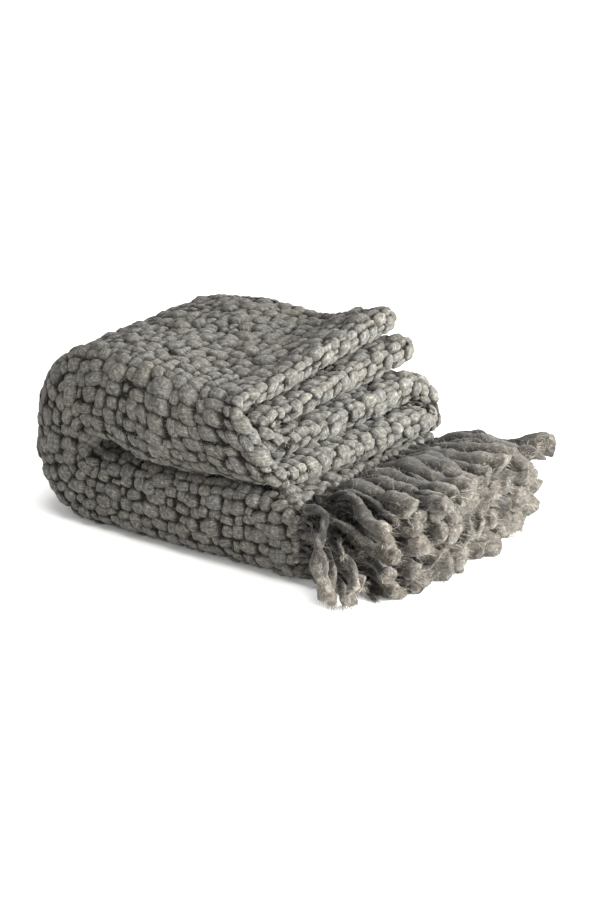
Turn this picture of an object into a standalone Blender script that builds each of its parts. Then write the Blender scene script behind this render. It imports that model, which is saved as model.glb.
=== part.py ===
# A chunky hand-woven throw blanket with a fringe at both ends, folded into a stack.
#
# Metres, +Z up, +X towards the fringe, +Y from the folded spine to the loose edges. The origin
# lies on the surface under the stack, below the middle of the cloth.
#
# How it is folded: the two fringed ends are brought together, so that the cloth is a pair of
# sheets joined by the end fold. The pair is folded in half across its width and in half again,
# which makes four pairs with the spine in front. That strip lies on its fringed half, turns
# over in one big loop at the left, and its other half comes back on top.
import math
import random

import bmesh
import bpy
from mathutils import Vector

# Cloth
SHEET = 0.0130  # thickness of the woven cloth
PITCH = 0.0146  # from the middle of one sheet to the middle of the next
PAIR = 2 * PITCH
OUTER = (PITCH + SHEET) / 2  # from the middle of a pair to its outer faces
INNER = (PITCH - SHEET) / 2  # from the middle of a pair to its inner faces

# Folded stack
STACK_LENGTH = 0.465  # along X, without the fringe
STACK_WIDTH = 0.312  # along Y
SPINE_CORNER = 0.0155  # radius of the spine's two corners, at the middle of the pair
SELVEDGE_SETBACK = 0.003  # how far the woven edges stay inside the back fold
LOOP_HOLLOW = 0.0105  # radius of the hollow inside the big loop
LOOP_SQUARE = 0.09  # how much further out the loop bulges between its ends and its middle
LOOP_SKEW = 0.018  # how much further right the loop turns at the loose edges
END_SLANT = 0.022  # how much further left the fringed end is at the spine
STRIP_HEIGHT = 3.5 * PAIR + OUTER  # of the four pairs

RIGHT = STACK_LENGTH / 2
FRONT = -STACK_WIDTH / 2
BACK = STACK_WIDTH / 2
LOOP_X = -STACK_LENGTH / 2 + STRIP_HEIGHT + LOOP_HOLLOW
LOWER_SHARE = 0.88  # how thick the lower half is where the loop starts, as a share of its end
LOOP_Z = STRIP_HEIGHT * LOWER_SHARE + LOOP_HOLLOW

# The right end of the upper half is stepped: each pair stops short of the one below it.
TOP_END_BACK = RIGHT + 0.018  # of the lowest pair, at the loose edges
TOP_END_SKEW = 0.066  # how much further left it ends at the spine
TOP_END_STEP = 0.98  # how much further left a layer ends for each metre of height
TOP_DROP = 2 * LOOP_HOLLOW - 0.0006  # the upper half comes down on the lower one
TOP_DROP_LENGTH = 0.080  # over this length at the bottom,
TOP_DROP_SPREAD = 0.9  # and over this much more for each metre of height

# Thickness of the upper half at its four corners, as a share of the strip's own
SHARE_LEFT_FRONT, SHARE_LEFT_BACK = 0.98, 0.99
SHARE_RIGHT_FRONT, SHARE_RIGHT_BACK = 0.92, 1.46
SPINE_LEAN = 0.034  # how far the upper spine's top edge leans back
SPINE_LEAN_REACH = 0.10

# Fringe
FRINGE_GAP = 0.0004  # between the cloth's edge and the strip that carries the locks
STRIP_DEPTH = 0.007
STRIP_THICK = 0.0090
LOCK_LENGTH = 0.166
LOCK_WIDTH = 0.0190
LOCK_THICK = 0.0122
ROOT_SHARE = 0.84  # of its cell that a lock's root fills
LOW_LOCKS = 0.84  # length of the lowest locks, as a share of the highest ones'
FLOOR_ROW = 0.008  # a lock that starts with its middle lower than this rests on the surface
FRONT_FAN, FRONT_REACH = 73, 0.026  # degrees that the locks fall to the front, over a distance
BACK_FAN, BACK_REACH = 26, 0.06  # the same at the back
FRONT_SPLAY, BACK_SPLAY = 0.030, 0.026  # how far all locks spread there as well
FRONT_SHORT = 0.28  # how much less far the front locks reach along X
LOCK_LIFT = 0.10  # how much the heap of locks swells as it leaves the cloth
SEED = 7

# The section across the folded width, from the woven edge of the upper pair round the spine
# to the under pair, round the back fold, and round the inner fold to the other woven edge.
# Turns are in degrees, to the left as one goes along.
SPINE_WALL = 3 * PAIR - 2 * SPINE_CORNER
WALL_Y = FRONT + OUTER
CORNER_Y = WALL_Y + SPINE_CORNER
BACK_FOLD_Y = BACK - OUTER - PAIR / 2
INNER_FOLD_Y = WALL_Y + 1.5 * PAIR
EDGE_Y = BACK - SELVEDGE_SETBACK
SECTION = (
    # name, straight run, turn, radius, steps
    ("upper_pair", EDGE_Y - CORNER_Y, 0, 0, 4),
    ("spine_top", 0, 90, SPINE_CORNER, 3),
    ("spine_wall", SPINE_WALL, 0, 0, 2),
    ("spine_foot", 0, 90, SPINE_CORNER, 3),
    ("under_pair", BACK_FOLD_Y - CORNER_Y, 0, 0, 4),
    ("back_fold", 0, 180, PAIR / 2, 6),
    ("third_pair", BACK_FOLD_Y - INNER_FOLD_Y, 0, 0, 4),
    ("inner_fold", 0, -180, PAIR / 2, 6),
    ("second_pair", EDGE_Y - INNER_FOLD_Y, 0, 0, 4),
)

# The way along the cloth. A place is 0 at the fringed end, 1 where the loop starts, 2 where
# it ends and 3 at the end of the upper half. A lap of 0 degrees is the sheet on the outside
# of its pair, 180 the one inside, and the end fold turns from one to the other.
LENGTHWAYS = (
    # name, first place, last place, first lap, last lap, steps
    ("outer_lower", 0, 1, 0, 0, 5),
    ("outer_loop", 1, 2, 0, 0, 10),
    ("outer_drop", 2, 2.4, 0, 0, 6),
    ("outer_upper", 2.4, 3, 0, 0, 5),
    ("end_fold", 3, 3, 0, 180, 6),
    ("inner_upper", 3, 2.4, 180, 180, 5),
    ("inner_drop", 2.4, 2, 180, 180, 6),
    ("inner_loop", 2, 1, 180, 180, 10),
    ("inner_lower", 1, 0, 180, 180, 5),
)

# The fringe, for each stretch of the section: how many cells the strip has, and which of
# them carry a lock: 1 all, 2 every second one, 0 none where the sheet turns too tightly.
FRINGE = (
    # name, cells, locks on the outer sheet, locks on the inner sheet
    ("upper_pair", 11, 1, 1),
    ("spine_top", 3, 2, 0),
    ("spine_wall", 2, 1, 1),
    ("spine_foot", 3, 2, 0),
    ("under_pair", 10, 1, 1),
    ("back_fold", 5, 2, 0),
    ("third_pair", 9, 1, 1),
    ("inner_fold", 5, 0, 2),
    ("second_pair", 10, 1, 1),
)

# A lock's width and thickness along its length, beyond its root.
LOCK_PROFILE = (
    # share of the length, share of the width, share of the thickness
    (0.09, 0.72, 0.90),
    (0.32, 1.00, 1.00),
    (0.62, 0.96, 1.00),
    (0.88, 0.86, 0.94),
    (1.00, 0.50, 0.60),
)

# Soft swells and hollows: places where the cloth stands proud or sinks in.
SWELLS = (
    # name, centre, reach, push
    ("left_dome", (-0.040, 0.12, 0.25), (0.07, 0.08, 0.08), (0.0, 0.0, 0.008)),
    ("top_trough", (0.05, 0.12, 0.26), (0.04, 0.08, 0.06), (0.0, 0.0, -0.006)),
    ("front_belly", (-0.02, -0.15, 0.165), (0.10, 0.05, 0.05), (0.0, -0.010, 0.0)),
    ("loop_belly", (-0.21, -0.03, 0.13), (0.06, 0.08, 0.06), (-0.008, 0.0, 0.0)),
    ("wall_hollow", (-0.10, -0.15, 0.10), (0.07, 0.04, 0.03), (0.0, 0.007, 0.0)),
    ("wall_belly", (0.07, -0.15, 0.055), (0.09, 0.04, 0.03), (0.0, -0.005, 0.0)),
    ("top_slope", (0.08, -0.06, 0.24), (0.08, 0.07, 0.07), (0.0, 0.0, -0.008)),
)
SWELL_FLOOR = 0.02  # below this height the swells fade out, so that the foot stays flat

# Colours, with sRGB values turned to linear
CLOTH_COLOUR = (0.157, 0.149, 0.138, 1.0)
FRINGE_COLOUR = (0.168, 0.152, 0.133, 1.0)


def smooth(share):
    """0 to 1 with an even start and end."""
    share = min(1.0, max(0.0, share))
    return share * share * (3 - 2 * share)


def mix(first, last, share):
    return first + (last - first) * share


def section_length(row):
    _, run, turn, radius, _ = row
    return run + abs(math.radians(turn)) * radius


def section_at(distance):
    """(y, height, direction of the outer face) at a distance along the section."""
    y, height, heading = EDGE_Y, 3.5 * PAIR, math.pi
    for row in SECTION:
        _, run, turn, radius, _ = row
        length = section_length(row)
        here = min(distance, length)
        if turn:
            side = math.copysign(math.pi / 2, turn)
            centre_y = y + radius * math.cos(heading + side)
            centre_height = height + radius * math.sin(heading + side)
            heading += math.copysign(here / radius, turn)
            y = centre_y - radius * math.cos(heading + side)
            height = centre_height - radius * math.sin(heading + side)
        else:
            y += here * math.cos(heading)
            height += here * math.sin(heading)
        distance -= length
        if distance <= 1e-9:
            break
    return y, height, heading - math.pi / 2


def section_stations():
    """Distances along the section at which the cloth has a row of points."""
    stations, start = [0.0], 0.0
    for row in SECTION:
        steps, length = row[4], section_length(row)
        stations += [start + length * (n + 1) / steps for n in range(steps)]
        start += length
    return stations


def length_stations():
    """(place, lap) at which the cloth has a row of points."""
    stations = [(0.0, 0.0)]
    for _, place_a, place_b, lap_a, lap_b, steps in LENGTHWAYS:
        for n in range(steps):
            share = (n + 1) / steps
            stations.append((mix(place_a, place_b, share), math.radians(mix(lap_a, lap_b, share))))
    return stations


def upper_share(x, y):
    """How thick the upper half is here, as a share of the strip's own thickness."""
    across = (y - FRONT) / STACK_WIDTH
    along = smooth((x - LOOP_X - LOOP_SKEW) / (RIGHT - LOOP_X - LOOP_SKEW))
    left = mix(SHARE_LEFT_FRONT, SHARE_LEFT_BACK, across)
    right = mix(SHARE_RIGHT_FRONT, SHARE_RIGHT_BACK, across)
    return mix(left, right, along)


def fringed_end(y):
    """Where the lower half ends."""
    return RIGHT - END_SLANT * (1 - (y - FRONT) / STACK_WIDTH)


def loop_start(y):
    return LOOP_X + LOOP_SKEW * (y - FRONT) / STACK_WIDTH


def lower_top(x, y):
    """Height of the lower half's upper face."""
    along = (fringed_end(y) - x) / (fringed_end(y) - loop_start(y))
    return STRIP_HEIGHT * mix(1.0, LOWER_SHARE, min(1.0, max(0.0, along)))


def lean(y, height):
    """How far a point of the upper half leans back from the spine."""
    near = math.exp(-max(0.0, y - FRONT) / SPINE_LEAN_REACH)
    return SPINE_LEAN * near * (height / STRIP_HEIGHT) ** 2


def settled(x, y, z):
    """A point after the swells and hollows."""
    fade = smooth(z / SWELL_FLOOR)
    moved = [x, y, z]
    for _, centre, reach, push in SWELLS:
        away = sum(((p - c) / r) ** 2 for p, c, r in zip((x, y, z), centre, reach, strict=True))
        for axis in range(3):
            moved[axis] += push[axis] * math.exp(-away) * fade
    return moved


def strip_point(place, y, height, pair_height, reach):
    """Where a point of the folded strip lies before it settles."""
    loop_x = loop_start(y)
    if place <= 1:
        x = mix(fringed_end(y), loop_x, place)
        return x, y, (STRIP_HEIGHT - height) * mix(1.0, LOWER_SHARE, place)
    if place < 2:
        turned = math.pi * (place - 1)
        over = smooth(place - 1)
        share = mix(LOWER_SHARE, upper_share(loop_x, y), over)
        square = LOOP_SQUARE * height / STRIP_HEIGHT * math.sin(2 * turned) ** 2
        radius = LOOP_HOLLOW + height * share * (1 + square)
        y += lean(y, height) * over
        return loop_x - radius * math.sin(turned), y, LOOP_Z - radius * math.cos(turned)
    back = (y - FRONT) / STACK_WIDTH
    end = TOP_END_BACK - TOP_END_SKEW * (1 - back) - TOP_END_STEP * pair_height
    x = mix(loop_x, end, place - 2) + reach
    lift = 2 * LOOP_HOLLOW
    lift -= TOP_DROP * smooth((x - loop_x) / (TOP_DROP_LENGTH + TOP_DROP_SPREAD * height))
    thick = height * upper_share(x, y)
    y += lean(y, height)
    return x, y, lower_top(x, y) + lift + thick


def cloth_point(distance, place, lap, from_middle):
    """A point of the cloth, from_middle metres out from the middle of its pair."""
    y, pair_height, out = section_at(distance)
    across = from_middle * math.cos(lap)
    y += across * math.cos(out)
    height = pair_height + across * math.sin(out)
    reach = from_middle * math.sin(lap)
    return settled(*strip_point(place, y, height, pair_height, reach))


def fringe_flow(y, z, share):
    """Where a lock's middle is when its share of the length is out from the strip."""
    front = math.exp(-max(0.0, y - WALL_Y) / FRONT_REACH)
    back = math.exp(-max(0.0, BACK - y) / BACK_REACH)
    grown = share**1.3
    fallen = math.radians(FRONT_FAN * front - BACK_FAN * back) * grown
    x = fringed_end(y) + FRINGE_GAP + STRIP_DEPTH
    x += LOCK_LENGTH * share * (1 - FRONT_SHORT * front * share)
    risen = z * (1 + LOCK_LIFT * smooth(share / 0.3))
    y += (BACK_SPLAY * back - FRONT_SPLAY * front) * grown - risen * math.sin(fallen)
    return Vector((x, y, risen * math.cos(fallen)))


def material(name, colour):
    made = bpy.data.materials.new(name)
    made.use_nodes = True
    surface = made.node_tree.nodes["Principled BSDF"]
    surface.inputs["Base Color"].default_value = colour
    surface.inputs["Roughness"].default_value = 0.95
    surface.inputs["Metallic"].default_value = 0.0
    return made


def slab_grid(columns, rows):
    """A flat slab of cells, one unit each and one unit thick, with its lowest corner at 0."""
    mesh = bmesh.new()
    bmesh.ops.create_grid(mesh, x_segments=columns, y_segments=rows, size=0.5)
    bmesh.ops.scale(mesh, vec=(columns, rows, 1), verts=mesh.verts)
    bmesh.ops.translate(mesh, vec=(columns / 2, rows / 2, 0), verts=mesh.verts)
    raised = bmesh.ops.extrude_face_region(mesh, geom=mesh.faces[:])
    tops = [item for item in raised["geom"] if isinstance(item, bmesh.types.BMVert)]
    bmesh.ops.translate(mesh, vec=(0, 0, 1), verts=tops)
    return mesh


def finish(mesh, name, collection, finish_material):
    bmesh.ops.recalc_face_normals(mesh, faces=mesh.faces)
    data = bpy.data.meshes.new(name)
    mesh.to_mesh(data)
    mesh.free()
    data.materials.append(finish_material)
    data.shade_smooth()
    data.set_sharp_from_angle(angle=math.radians(60))
    made = bpy.data.objects.new(name, data)
    collection.objects.link(made)
    return made


def throw_cloth(collection, finish_material):
    """The woven cloth: a flat slab with a cell for each step, folded point by point."""
    across, along = section_stations(), length_stations()
    mesh = slab_grid(len(across) - 1, len(along) - 1)
    for vertex in mesh.verts:
        column, row, side = (round(value) for value in vertex.co)
        place, lap = along[row]
        vertex.co = cloth_point(across[column], place, lap, OUTER if side else INNER)
    return finish(mesh, "throw_cloth", collection, finish_material)


def fringe_cells(lock_column):
    """(start, end, has a lock) for each cell of a fringe strip."""
    cells, start = [], 0.0
    for row, fringe_row in zip(SECTION, FRINGE, strict=True):
        count, every = fringe_row[1], fringe_row[lock_column]
        width = section_length(row) / count
        for n in range(count):
            has_lock = every == 1 or (every == 2 and n % 2 == 1)
            cells.append((start + n * width, start + (n + 1) * width, has_lock))
        start += section_length(row)
    return cells


def root_point(distance, from_middle):
    """(y, z) on the fringed edge, at a distance along the section."""
    y, height, out = section_at(distance)
    y += from_middle * math.cos(out)
    return y, STRIP_HEIGHT - height - from_middle * math.sin(out)


def lock_ring(distance, from_middle, share, width, thick):
    """The four corners of a lock, keyed by side across the row and side out of the row."""
    middle = fringe_flow(*root_point(distance, from_middle), share)
    ahead = fringe_flow(*root_point(distance, from_middle), share + 0.02) - middle
    across = fringe_flow(*root_point(distance + 0.001, from_middle), share) - middle
    ahead.normalize()
    across = (across - ahead * across.dot(ahead)).normalized()
    outward = ahead.cross(across)
    return {(side, out): middle + across * width / 2 * side + outward * thick / 2 * out
            for side in (-1, 1) for out in (-1, 1)}


def grow_lock(mesh, face, cell, from_middle, length_share, sway):
    """Draws one lock out of its cell's face, ring by ring."""
    start, end, _ = cell
    centre = (start + end) / 2
    _, root_z = root_point(centre, from_middle)
    length_share *= mix(LOW_LOCKS, 1.0, root_z / STRIP_HEIGHT)
    near = min(round(vertex.co.x) for vertex in face.verts)
    corners = [(1 if round(vertex.co.x) > near else -1, 1 if round(vertex.co.y) else -1)
               for vertex in face.verts]
    face = bmesh.ops.extrude_discrete_faces(mesh, faces=[face])["faces"][0]
    for vertex, (side, out) in zip(face.verts, corners, strict=True):
        root = root_point(centre + side * (end - start) * ROOT_SHARE / 2,
                          from_middle + out * STRIP_THICK * ROOT_SHARE / 2)
        vertex.co = (fringed_end(root[0]) + FRINGE_GAP + STRIP_DEPTH, *root)
        vertex.tag = True
    for along, width, thick in LOCK_PROFILE:
        face = bmesh.ops.extrude_discrete_faces(mesh, faces=[face])["faces"][0]
        bend = sway * math.sin(math.pi * along)
        ring = lock_ring(centre + bend, from_middle, along * length_share,
                         LOCK_WIDTH * width, LOCK_THICK * thick)
        lowest = min(point.z for point in ring.values())
        rest = lowest if root_z < FLOOR_ROW else min(0.0, lowest)
        for vertex, corner in zip(face.verts, corners, strict=True):
            vertex.co = ring[corner] - Vector((0, 0, rest))
            vertex.tag = True


def fringe(name, from_middle, lock_column, collection, finish_material):
    """One fringe: a strip along the folded edge of a sheet, with its locks grown out of it."""
    random.seed(SEED + lock_column)
    cells = fringe_cells(lock_column)
    mesh = slab_grid(len(cells), 1)
    for vertex in mesh.verts:
        vertex.tag = False
    outer_faces = {}
    for face in mesh.faces:
        if all(round(vertex.co.z) == 1 for vertex in face.verts):
            outer_faces[round(min(vertex.co.x for vertex in face.verts))] = face
    for number, cell in enumerate(cells):
        length_share = random.uniform(0.86, 1.04)
        sway = random.uniform(-0.002, 0.002)
        if cell[2]:
            grow_lock(mesh, outer_faces[number], cell, from_middle, length_share, sway)
    stations = [cell[0] for cell in cells] + [cells[-1][1]]
    for vertex in mesh.verts:
        if not vertex.tag:
            column, side, outward = (round(value) for value in vertex.co)
            y, z = root_point(stations[column], from_middle + STRIP_THICK * (side - 0.5))
            vertex.co = (fringed_end(y) + FRINGE_GAP + STRIP_DEPTH * outward, y, z)
    return finish(mesh, name, collection, finish_material)


def main():
    for old in list(bpy.data.objects):
        bpy.data.objects.remove(old)
    collection = bpy.data.collections.new("throw_blanket")
    bpy.context.scene.collection.children.link(collection)
    cloth_finish = material("woven_yarn", CLOTH_COLOUR)
    fringe_finish = material("fringe_yarn", FRINGE_COLOUR)
    throw_cloth(collection, cloth_finish)
    fringe("fringe_outer", PITCH / 2, 2, collection, fringe_finish)
    fringe("fringe_inner", -PITCH / 2, 3, collection, fringe_finish)


main()
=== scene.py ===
import math
import random

import bpy
import numpy as np
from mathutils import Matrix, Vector
from mathutils.bvhtree import BVHTree


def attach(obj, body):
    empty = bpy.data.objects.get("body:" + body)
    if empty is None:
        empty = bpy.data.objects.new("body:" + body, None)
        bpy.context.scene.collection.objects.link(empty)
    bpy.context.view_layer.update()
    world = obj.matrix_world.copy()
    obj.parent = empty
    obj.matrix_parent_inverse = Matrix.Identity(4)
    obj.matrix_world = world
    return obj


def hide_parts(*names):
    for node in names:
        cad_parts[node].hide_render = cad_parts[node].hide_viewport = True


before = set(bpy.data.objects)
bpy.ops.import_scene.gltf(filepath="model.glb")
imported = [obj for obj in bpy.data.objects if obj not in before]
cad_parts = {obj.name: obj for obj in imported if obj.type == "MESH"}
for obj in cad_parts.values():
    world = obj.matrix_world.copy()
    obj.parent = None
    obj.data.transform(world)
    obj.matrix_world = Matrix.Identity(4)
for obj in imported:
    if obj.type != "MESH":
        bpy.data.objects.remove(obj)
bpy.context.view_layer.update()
scene = bpy.context.scene
print("stage: frame loaded")

# The folded strip, in metres. Same sizes as the solids, so the yarn lies on the same folds.
strip = {
    "sheet": 0.0130,  # woven cloth, thick roving over thick roving
    "pitch": 0.0146,  # middle of one sheet to the middle of the next
    "length": 0.465,
    "width": 0.312,
    "endSlant": 0.022,  # the fringed end lies this much further left at the spine
    "spineCorner": 0.0155,
    "setback": 0.003,  # woven edges inside the back fold
    "hollow": 0.0105,  # radius inside the big loop
    "square": 0.09,
    "skew": 0.018,
    "lowerShare": 0.88,
    "endBack": 0.018,  # the upper half's right end: start, slant and step
    "endSkew": 0.066,
    "endStep": 0.98,
    "dropLength": 0.080,
    "dropSpread": 0.9,
    "leftShares": (0.98, 0.99),  # front, back
    "rightShares": (0.92, 1.46),
    "lean": 0.034,
    "leanReach": 0.10,
    "swellFloor": 0.02,
}
swells = (
    # centre, reach, push
    ((-0.040, 0.12, 0.25), (0.07, 0.08, 0.08), (0.0, 0.0, 0.008)),
    ((0.05, 0.12, 0.26), (0.04, 0.08, 0.06), (0.0, 0.0, -0.006)),
    ((-0.02, -0.15, 0.165), (0.10, 0.05, 0.05), (0.0, -0.010, 0.0)),
    ((-0.21, -0.03, 0.13), (0.06, 0.08, 0.06), (-0.008, 0.0, 0.0)),
    ((-0.10, -0.15, 0.10), (0.07, 0.04, 0.03), (0.0, 0.007, 0.0)),
    ((0.07, -0.15, 0.055), (0.09, 0.04, 0.03), (0.0, -0.005, 0.0)),
    ((0.08, -0.06, 0.24), (0.08, 0.07, 0.07), (0.0, 0.0, -0.008)),
)
halfPitch = strip["pitch"] / 2
pair = 2 * strip["pitch"]
outer = (strip["pitch"] + strip["sheet"]) / 2
inner = (strip["pitch"] - strip["sheet"]) / 2
stripHeight = 3.5 * pair + outer
right, front, back = strip["length"] / 2, -strip["width"] / 2, strip["width"] / 2
loopX = -right + stripHeight + strip["hollow"]
loopZ = stripHeight * strip["lowerShare"] + strip["hollow"]
dropHeight = 2 * strip["hollow"] - 0.0006
wallY = front + outer
cornerY = wallY + strip["spineCorner"]
backFoldY = back - outer - pair / 2
innerFoldY = wallY + 1.5 * pair
edgeY = back - strip["setback"]
section = (
    # stretch across the width, straight run, turn in degrees, radius
    ("upperPair", edgeY - cornerY, 0, 0),
    ("spineTop", 0, 90, strip["spineCorner"]),
    ("spineWall", 3 * pair - 2 * strip["spineCorner"], 0, 0),
    ("spineFoot", 0, 90, strip["spineCorner"]),
    ("underPair", backFoldY - cornerY, 0, 0),
    ("backFold", 0, 180, pair / 2),
    ("thirdPair", backFoldY - innerFoldY, 0, 0),
    ("innerFold", 0, -180, pair / 2),
    ("secondPair", edgeY - innerFoldY, 0, 0),
)
# Lengthways the cloth runs out along the lower half, round the loop, over the top, round the
# end fold and all the way back. Place is 0 at the fringe, 1 and 2 at the loop's ends, 3 at the end fold.
placeAt = (0, 1, 2, 3, 3, 2, 1, 0)
lapAt = (0, 0, 0, 0, 180, 180, 180, 180)


def smooth(share):
    share = np.clip(share, 0, 1)
    return share * share * (3 - 2 * share)


def mix(first, last, share):
    return first + (last - first) * share


def rowLength(row):
    return row[1] + abs(math.radians(row[2])) * row[3]


clothWidth = sum(rowLength(row) for row in section)


def walkSection(step=0.0005, spare=0.012):
    # distance, y, height and direction of the outer face along the folded width, with both ends run on a little
    distance, y, height, heading = -spare, edgeY + spare, 3.5 * pair, math.pi
    rows = [(distance, y, height, heading - math.pi / 2)]
    stretches = [(spare, 0, 0)] + [(rowLength(row), row[2], row[3]) for row in section] + [(spare, 0, 0)]
    for length, turn, radius in stretches:
        count = max(1, round(length / step))
        for n in range(count):
            half = math.copysign(length / count / radius / 2, turn) if turn else 0
            heading += half
            chord = 2 * radius * abs(math.sin(half)) if turn else length / count
            y += chord * math.cos(heading)
            height += chord * math.sin(heading)
            heading += half
            distance += length / count
            rows.append((distance, y, height, heading - math.pi / 2))
    return np.array(rows).T


walked = walkSection()


def upperShare(x, y):
    across = (y - front) / strip["width"]
    along = smooth((x - loopX - strip["skew"]) / (right - loopX - strip["skew"]))
    return mix(mix(*strip["leftShares"], across), mix(*strip["rightShares"], across), along)


def fringedEnd(y):
    return right - strip["endSlant"] * (1 - (y - front) / strip["width"])


def loopStart(y):
    return loopX + strip["skew"] * (y - front) / strip["width"]


def lowerTop(x, y):
    along = np.clip((fringedEnd(y) - x) / (fringedEnd(y) - loopStart(y)), 0, 1)
    return stripHeight * mix(1.0, strip["lowerShare"], along)


def leanBack(y, height):
    near = np.exp(-np.maximum(0.0, y - front) / strip["leanReach"])
    return strip["lean"] * near * (height / stripHeight) ** 2


def settle(points):
    fade = smooth(points[..., 2] / strip["swellFloor"])
    moved = points.copy()
    for centre, reach, push in swells:
        away = (((points - np.array(centre)) / np.array(reach)) ** 2).sum(-1)
        moved += np.array(push) * (np.exp(-away) * fade)[..., None]
    return moved


def foldPoints(distance, course, fromMiddle):
    # flat cloth to folded cloth: distance across the width, course 0 to 7 along the length,
    # and how far the point is from the pair's middle
    distance, course, fromMiddle = np.broadcast_arrays(distance, course, fromMiddle)
    place, lap = np.interp(course, range(8), placeAt), np.radians(np.interp(course, range(8), lapAt))
    y, pairHeight, out = (np.interp(distance, walked[0], walked[k]) for k in (1, 2, 3))
    across = fromMiddle * np.cos(lap)
    y = y + across * np.cos(out)
    height = pairHeight + across * np.sin(out)
    backness = (y - front) / strip["width"]
    turnX = loopStart(y)
    lowX, lowZ = mix(fringedEnd(y), turnX, place), (stripHeight - height) * mix(1.0, strip["lowerShare"], place)
    over = smooth(place - 1)
    turned = math.pi * np.clip(place - 1, 0, 1)
    bulge = strip["square"] * height / stripHeight * np.sin(2 * turned) ** 2
    radius = strip["hollow"] + height * mix(strip["lowerShare"], upperShare(turnX, y), over) * (1 + bulge)
    loopY = y + leanBack(y, height) * over
    end = right + strip["endBack"] - strip["endSkew"] * (1 - backness) - strip["endStep"] * pairHeight
    topX = mix(turnX, end, place - 2) + fromMiddle * np.sin(lap)
    dropped = smooth((topX - turnX) / (strip["dropLength"] + strip["dropSpread"] * height))
    lift = 2 * strip["hollow"] - dropHeight * dropped
    topY = y + leanBack(y, height)
    topZ = lowerTop(topX, topY) + lift + height * upperShare(topX, y)
    isLow, isLoop = place <= 1, (place > 1) & (place < 2)
    x = np.where(isLow, lowX, np.where(isLoop, turnX - radius * np.sin(turned), topX))
    z = np.where(isLow, lowZ, np.where(isLoop, loopZ - radius * np.cos(turned), topZ))
    y = np.where(isLow, y, np.where(isLoop, loopY, topY))
    return settle(np.stack([x, y, z], -1))


def cloudNoise(points, size):
    # smooth noise from -1 to 1 with lumps about this size
    cell = points / size
    base = np.floor(cell)
    share = smooth(cell - base)
    total = 0
    for corner in np.ndindex(2, 2, 2):
        value = np.sin((base + corner) @ np.array([127.1, 311.7, 74.7])) * 43758.5453
        weight = np.where(np.array(corner, dtype=bool), share, 1 - share).prod(-1)
        total = total + weight * (value - np.floor(value))
    return total * 2 - 1


# Colours and materials

def hexColour(code):
    # sRGB hex to linear, with alpha
    values = [int(code[k:k + 2], 16) / 255 for k in (1, 3, 5)]
    return tuple(v / 12.92 if v <= 0.04045 else ((v + 0.055) / 1.055) ** 2.4 for v in values) + (1.0,)


def addNode(tree, kind, settings=None, inputs=None, links=None):
    node = tree.nodes.new(kind)
    for key, value in (settings or {}).items():
        setattr(node, key, value)
    for key, value in (inputs or {}).items():
        node.inputs[key].default_value = value
    for key, source in (links or {}).items():
        tree.links.new(source, node.inputs[key])
    return node


def newMaterial(name, values):
    material = bpy.data.materials.new(name)
    material.use_nodes = True
    shader = material.node_tree.nodes["Principled BSDF"]
    for key, value in values.items():
        shader.inputs[key].default_value = value
    return material, material.node_tree, shader


roving = {  # wool roving, carded and hardly twisted: matt, with long fibres lying side by side
    "dark": "#241f1a",
    "middle": "#474440",
    "light": "#797770",
    "fibre": 1.5,  # mm across a wisp of fibres
    "wispLength": 15,  # mm
    "grain": 1.5,  # mm, ends of fibres standing up
    "patch": 5.0,  # mm, broader shades within one float
    "shares": (0.37, 0.29, 0.34),  # of wisps, grain and patches
    "ramp": (0.34, 0.68),
    "bump": 0.7,
    "bumpDepth": 0.0011,
    "felted": False,  # felted wool has grain in no direction, so it follows the place and not the yarn
}


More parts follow.
